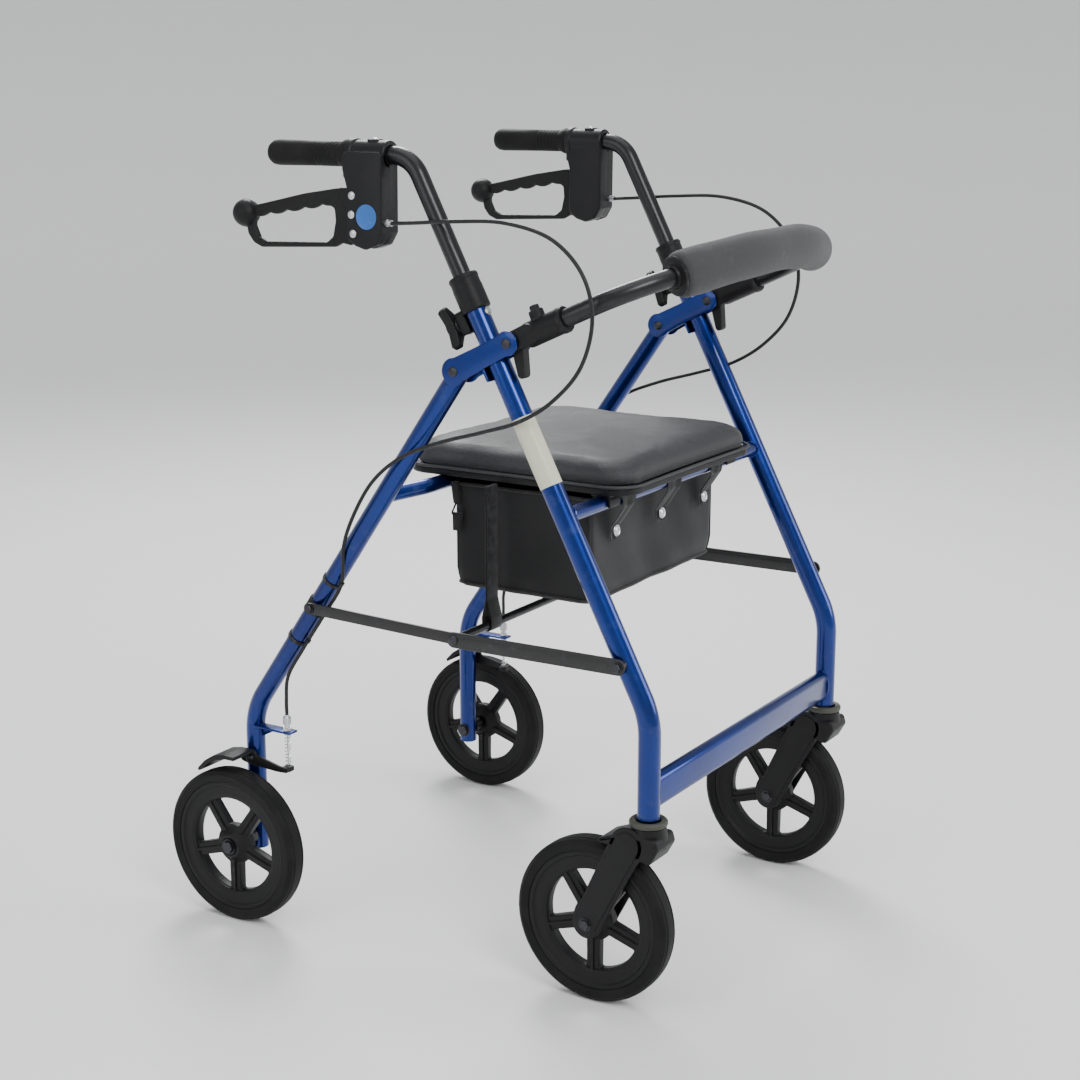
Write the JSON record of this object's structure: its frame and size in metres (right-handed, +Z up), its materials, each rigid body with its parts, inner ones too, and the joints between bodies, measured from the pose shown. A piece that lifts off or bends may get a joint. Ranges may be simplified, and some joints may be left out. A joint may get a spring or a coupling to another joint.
{
  "type": "rollator walker",
  "caption": "Folding rollator walker with braked rear wheels, swivel casters, height-adjustable handles, flip-up seat, bag and padded backrest.",
  "frame": {"origin": "on the floor under the middle of the outer box", "axes": "+Z up; -Y is the front, the direction of travel; -X is the user's right hand side"},
  "size_m": [0.608, 0.7245, 0.977],
  "materials": {
    "frame_blue": "candy metallic lacquer, glossy, slightly lighter where the light grazes it",
    "tube_black": "satin black anodised tube with fine drawn lines",
    "plastic_black": "fine grained black moulding",
    "grip_rubber": "soft black grip, slightly worn",
    "tyre_rubber": "solid black tyre, dusty tread",
    "hub_plastic": "black glass-filled nylon wheel centre",
    "foam_grey": "grey closed-cell foam with a fine skin",
    "seat_vinyl": "charcoal grained vinyl over a padded board",
    "bag_nylon": "black woven nylon",
    "steel": "zinc plated steel",
    "cable_black": "black cable sleeve",
    "link_black": "satin black lacquered flat steel"
  },
  "bodies": {
    "front_frame": {"front_leg_right": "frame_blue", "front_leg_left": "frame_blue", "front_crossbar": "frame_blue", "front_seat_tube": "frame_blue", "side_bracket_right": "frame_blue", "side_bracket_left": "frame_blue", "height_collar_right": "plastic_black", "height_collar_left": "plastic_black", "brake_cable_right": "cable_black", "brake_cable_left": "cable_black", "bag": "bag_nylon"},
    "rear_frame": {"rear_leg_right": "frame_blue", "rear_leg_left": "frame_blue", "rear_seat_tube": "frame_blue", "rear_axle_right": "steel", "rear_axle_left": "steel", "cable_adjuster_right": "steel", "cable_adjuster_left": "steel", "brake_spring_right": "steel", "brake_spring_left": "steel"},
    "front_links": {"front_link_right": "link_black", "front_link_left": "link_black", "fold_rod": "tube_black", "fold_strap": "bag_nylon"},
    "rear_links": {"rear_link_right": "link_black", "rear_link_left": "link_black"},
    "seat": {"seat_board": "plastic_black", "seat_cushion": "seat_vinyl"},
    "backrest": {"backrest_tube": "tube_black", "backrest_pad": "foam_grey", "backrest_hinge_right": "plastic_black", "backrest_hinge_left": "plastic_black"},
    "handle_right": {"handle_tube_right": "tube_black", "grip_right": "grip_rubber", "brake_housing_right": "plastic_black"},
    "knob_right": {"height_knob_right": "plastic_black"},
    "rocker_right": {"park_rocker_right": "steel"},
    "lever_right": {"brake_lever_right": "plastic_black"},
    "button_right": {"push_button_right": "plastic_black"},
    "caster_right": {"caster_fork_right": "plastic_black", "front_axle_right": "steel"},
    "front_wheel_right": {"front_hub_right": "hub_plastic", "front_tyre_right": "tyre_rubber"},
    "rear_wheel_right": {"rear_hub_right": "hub_plastic", "rear_tyre_right": "tyre_rubber"},
    "shoe_right": {"brake_arm_right": "plastic_black"},
    "handle_left": {"handle_tube_left": "tube_black", "grip_left": "grip_rubber", "brake_housing_left": "plastic_black"},
    "knob_left": {"height_knob_left": "plastic_black"},
    "rocker_left": {"park_rocker_left": "steel"},
    "lever_left": {"brake_lever_left": "plastic_black"},
    "button_left": {"push_button_left": "plastic_black"},
    "caster_left": {"caster_fork_left": "plastic_black", "front_axle_left": "steel"},
    "front_wheel_left": {"front_hub_left": "hub_plastic", "front_tyre_left": "tyre_rubber"},
    "rear_wheel_left": {"rear_hub_left": "hub_plastic", "rear_tyre_left": "tyre_rubber"},
    "shoe_left": {"brake_arm_left": "plastic_black"}
  },
  "joints": [
    {"name": "fold", "type": "hinge", "parent": "front_frame", "child": "rear_frame", "pos_m": [0, -0.058, 0.724], "axis": [-1, 0, 0], "range_deg": [0, 32], "deforming": ["bag", "fold_strap", "brake_cable_right", "brake_cable_left"]},
    {"name": "front_link_pivot", "type": "hinge", "parent": "front_frame", "child": "front_links", "pos_m": [0, -0.27655, 0.413], "axis": [1, 0, 0], "range_deg": [0, 41]},
    {"name": "rear_link_pivot", "type": "hinge", "parent": "rear_frame", "child": "rear_links", "pos_m": [0, 0.1565, 0.417], "axis": [-1, 0, 0], "range_deg": [0, 41]},
    {"name": "seat_flip", "type": "hinge", "parent": "front_frame", "child": "seat", "pos_m": [0, -0.19551, 0.57], "axis": [1, 0, 0], "range_deg": [0, 78]},
    {"name": "backrest_flip", "type": "hinge", "parent": "front_frame", "child": "backrest", "pos_m": [0, -0.129, 0.761], "axis": [-1, 0, 0], "range_deg": [0, 70]},
    {"name": "handle_height_right", "type": "slide", "parent": "front_frame", "child": "handle_right", "axis": [0, 0.4586, 0.8886], "range_m": [-0.06, 0.09]},
    {"name": "height_knob_turn_right", "type": "hinge", "parent": "front_frame", "child": "knob_right", "pos_m": [-0.242, -0.08311, 0.78779], "axis": [0, 0.8886, -0.4586], "range_deg": [0, 540]},
    {"name": "park_rock_right", "type": "hinge", "parent": "handle_right", "child": "rocker_right", "pos_m": [-0.254, 0.074, 0.873], "axis": [-1, 0, 0], "range_deg": [0, 20]},
    {"name": "lever_squeeze_right", "type": "hinge", "parent": "rocker_right", "child": "lever_right", "pos_m": [-0.254, 0.075, 0.916], "axis": [1, 0, 0], "range_deg": [0, 12], "stiffness_Nm_per_rad": 2},
    {"name": "brake_arm_swing_right", "type": "hinge", "parent": "rear_frame", "child": "shoe_right", "pos_m": [-0.258, 0.258, 0.20545], "axis": [-1, 0, 0], "range_deg": [0, 2.5], "deforming": ["brake_spring_right"]},
    {"name": "button_press_right", "type": "slide", "parent": "backrest", "child": "button_right", "axis": [0, -0.4147, -0.91], "range_m": [0, 0.0035], "stiffness_N_per_m": 600},
    {"name": "caster_swivel_right", "type": "hinge", "parent": "front_frame", "child": "caster_right", "pos_m": [-0.242, -0.307, 0.22], "axis": [0, 0, 1], "continuous": true},
    {"name": "front_wheel_spin_right", "type": "hinge", "parent": "caster_right", "child": "front_wheel_right", "pos_m": [-0.242, -0.239, 0.09945], "axis": [1, 0, 0], "continuous": true},
    {"name": "rear_wheel_spin_right", "type": "hinge", "parent": "rear_frame", "child": "rear_wheel_right", "pos_m": [-0.286, 0.262, 0.09945], "axis": [1, 0, 0], "continuous": true},
    {"name": "handle_height_left", "type": "slide", "parent": "front_frame", "child": "handle_left", "axis": [0, 0.4586, 0.8886], "range_m": [-0.06, 0.09]},
    {"name": "height_knob_turn_left", "type": "hinge", "parent": "front_frame", "child": "knob_left", "pos_m": [0.242, -0.08311, 0.78779], "axis": [0, 0.8886, -0.4586], "range_deg": [0, 540]},
    {"name": "park_rock_left", "type": "hinge", "parent": "handle_left", "child": "rocker_left", "pos_m": [0.254, 0.074, 0.873], "axis": [-1, 0, 0], "range_deg": [0, 20]},
    {"name": "lever_squeeze_left", "type": "hinge", "parent": "rocker_left", "child": "lever_left", "pos_m": [0.254, 0.075, 0.916], "axis": [1, 0, 0], "range_deg": [0, 12], "stiffness_Nm_per_rad": 2},
    {"name": "brake_arm_swing_left", "type": "hinge", "parent": "rear_frame", "child": "shoe_left", "pos_m": [0.258, 0.258, 0.20545], "axis": [-1, 0, 0], "range_deg": [0, 2.5], "deforming": ["brake_spring_left"]},
    {"name": "button_press_left", "type": "slide", "parent": "backrest", "child": "button_left", "axis": [0, -0.4147, -0.91], "range_m": [0, 0.0035], "stiffness_N_per_m": 600},
    {"name": "caster_swivel_left", "type": "hinge", "parent": "front_frame", "child": "caster_left", "pos_m": [0.242, -0.307, 0.22], "axis": [0, 0, 1], "continuous": true},
    {"name": "front_wheel_spin_left", "type": "hinge", "parent": "caster_left", "child": "front_wheel_left", "pos_m": [0.242, -0.239, 0.09945], "axis": [1, 0, 0], "continuous": true},
    {"name": "rear_wheel_spin_left", "type": "hinge", "parent": "rear_frame", "child": "rear_wheel_left", "pos_m": [0.286, 0.262, 0.09945], "axis": [1, 0, 0], "continuous": true}
  ],
  "couplings": [
    {"joint": "front_link_pivot", "follows": "fold", "ratio": 1.2599},
    {"joint": "rear_link_pivot", "follows": "fold", "ratio": 1.269},
    {"joint": "brake_arm_swing_right", "follows": "lever_squeeze_right", "ratio": 0.20833},
    {"joint": "brake_arm_swing_left", "follows": "lever_squeeze_left", "ratio": 0.20833}
  ]
}
